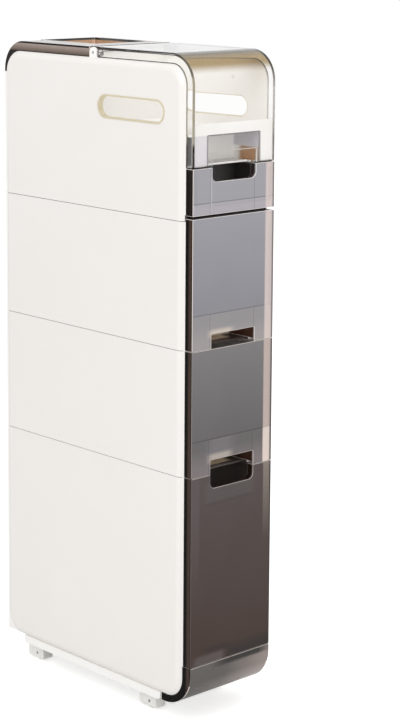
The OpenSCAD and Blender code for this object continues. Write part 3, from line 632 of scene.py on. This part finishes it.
# moulded nylon, white and satin, with a faint mottle 8 mm across
white_nylon, place = new_finish("moulded_nylon")
mottle, tone = drifting(white_nylon, place, 120.0, 3.0, "#FAF9F6", "#F2F1EC")
shader = add(white_nylon, "ShaderNodeBsdfPrincipled", {
    "Base Color": tone, "Roughness": 0.4, "IOR": 1.53,
})
add(white_nylon, "ShaderNodeOutputMaterial", {"Surface": shader.outputs[0]})
dress(white_nylon, *[n for n in nodes if n.startswith("wheel_")])
fork_round = 0.0006
for corner in ("front_left", "front_right", "rear_left", "rear_right"):
    fork = eased("fork_" + corner, fork_round, white_nylon, white_nylon, white_nylon)
    mounted(fork, "caster_" + corner)


# ---- floor, light and camera ----
# A plain white sweep under even studio light. The world lights the object at the level at
# which a colour renders as written, and what the camera, gloss and glass see of it is white.

reach = 6
corners = [(-reach, -reach, 0), (reach, -reach, 0), (reach, reach, 0), (-reach, reach, 0)]
floor_mesh = bpy.data.meshes.new("floor")
floor_mesh.from_pydata(corners, [], [(0, 1, 2, 3)])
floor = bpy.data.objects.new("floor", floor_mesh)
bpy.context.scene.collection.objects.link(floor)
sweep, place = new_finish("white_sweep")
matt = add(sweep, "ShaderNodeBsdfDiffuse", {"Color": linear("#F2F2F1")})
glow = add(sweep, "ShaderNodeEmission", {"Color": linear("#FFFFFF"), "Strength": 0.6})
seen = add(sweep, "ShaderNodeLightPath", {})
lift = add(sweep, "ShaderNodeMixShader", {0: seen.outputs["Is Camera Ray"], 2: glow.outputs[0]})
shader = add(sweep, "ShaderNodeAddShader", {0: matt.outputs[0], 1: lift.outputs[0]})
add(sweep, "ShaderNodeOutputMaterial", {"Surface": shader.outputs[0]})
floor_mesh.materials.append(sweep)

ambient, white = 0.72, 1.0
world = bpy.data.worlds.new("studio")
world.use_nodes = True
world.node_tree.nodes.clear()
bpy.context.scene.world = world
seen = add(world, "ShaderNodeLightPath", {})
either = add(world, "ShaderNodeMath", {
    0: seen.outputs["Is Camera Ray"], 1: seen.outputs["Is Glossy Ray"],
}, operation="MAXIMUM")
any_of = add(world, "ShaderNodeMath", {
    0: either.outputs[0], 1: seen.outputs["Is Transmission Ray"],
}, operation="MAXIMUM")
level = add(world, "ShaderNodeMapRange", {
    "Value": any_of.outputs[0], "To Min": ambient, "To Max": white,
})
sky = add(world, "ShaderNodeBackground", {
    "Color": linear("#FFFFFF"), "Strength": level.outputs["Result"],
})
add(world, "ShaderNodeOutputWorld", {"Surface": sky.outputs[0]})


def softbox(name, at, aim, side, power):
    """A square lamp of side metres and power watts at one point, turned to face another."""
    lamp = bpy.data.lights.new(name, "AREA")
    lamp.size = side
    lamp.energy = power
    box = bpy.data.objects.new(name, lamp)
    box.location = at
    box.rotation_euler = (Vector(aim) - Vector(at)).to_track_quat("-Z", "Y").to_euler()
    bpy.context.scene.collection.objects.link(box)


softbox("key", at=(-2.6, -0.9, 2.2), aim=(0, 0, 0.5), side=2.0, power=24.5)
softbox("front", at=(-0.7, -3.0, 1.1), aim=(0, 0, 0.6), side=2.0, power=16)
softbox("overhead", at=(0.0, -0.3, 2.7), aim=(0, -0.05, 0.9), side=1.4, power=9)

# the photograph's camera: a 100 mm lens with the front standard dropped
stand = (-1.8354, -2.1002, 1.0883)
yaw, pitch, roll = map(math.radians, (43.014, 8.014, 0.409))
level_right = Vector((math.cos(yaw), -math.sin(yaw), 0))
ahead = Vector((
    math.sin(yaw) * math.cos(pitch), math.cos(yaw) * math.cos(pitch), -math.sin(pitch),
))
upright = level_right.cross(ahead)
right = math.cos(roll) * level_right + math.sin(roll) * upright
up = math.cos(roll) * upright - math.sin(roll) * level_right
lens = bpy.data.cameras.new("camera")
lens.lens = 100.06
lens.sensor_width = 36
lens.shift_y = -0.2198
lens.clip_start = 0.05
camera = bpy.data.objects.new("camera", lens)
turn = Matrix((right, up, -ahead)).transposed().to_4x4()
camera.matrix_world = Matrix.Translation(stand) @ turn
bpy.context.scene.collection.objects.link(camera)
bpy.context.scene.camera = camera
bpy.context.scene.view_settings.view_transform = "Standard"
